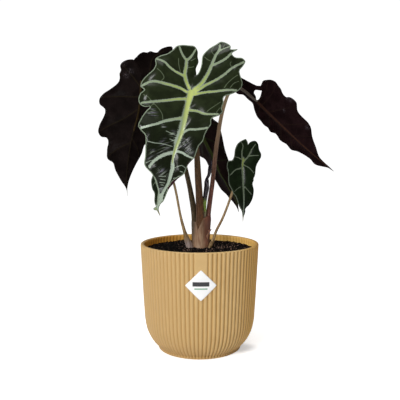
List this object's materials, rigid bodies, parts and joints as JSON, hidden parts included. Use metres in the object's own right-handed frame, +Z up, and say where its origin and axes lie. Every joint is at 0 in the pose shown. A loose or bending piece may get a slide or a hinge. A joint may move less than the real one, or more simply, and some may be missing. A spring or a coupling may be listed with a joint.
{
  "type": "potted polly alocasia",
  "caption": "Potted alocasia with large arrow-shaped, wavy, pale-veined dark leaves on long stalks, growing in peat in a round ribbed plastic pot.",
  "frame": {"origin": "middle of the pot's flat foot, where it stands on the surface", "axes": "+Z up, -Y towards the front with the label, +X to the right as seen from the front"},
  "size_m": [0.292, 0.1429, 0.3584],
  "materials": {
    "pot_plastic": "matte ochre yellow",
    "label_card": "satin white",
    "peat": "rough dark peat",
    "sheath": "satin mauve brown",
    "stalk_skin": "satin mottled brown",
    "blade_skin": "glossy dark green with pale veins, dull purple below",
    "rolled_leaf_skin": "glossy dark purple, green at its foot"
  },
  "bodies": {
    "root": {"pot": "pot_plastic", "label": "label_card", "soil": "peat", "crown": "sheath", "new_leaf": "rolled_leaf_skin", "stalk_front": "stalk_skin", "stalk_left": "stalk_skin", "stalk_right": "stalk_skin", "stalk_back": "stalk_skin", "stalk_small_right": "stalk_skin", "stalk_small_left": "stalk_skin", "blade_front": "blade_skin", "blade_left": "blade_skin", "blade_right": "blade_skin", "blade_back": "blade_skin", "blade_small_right": "blade_skin", "blade_small_left": "blade_skin"}
  },
  "joints": []
}
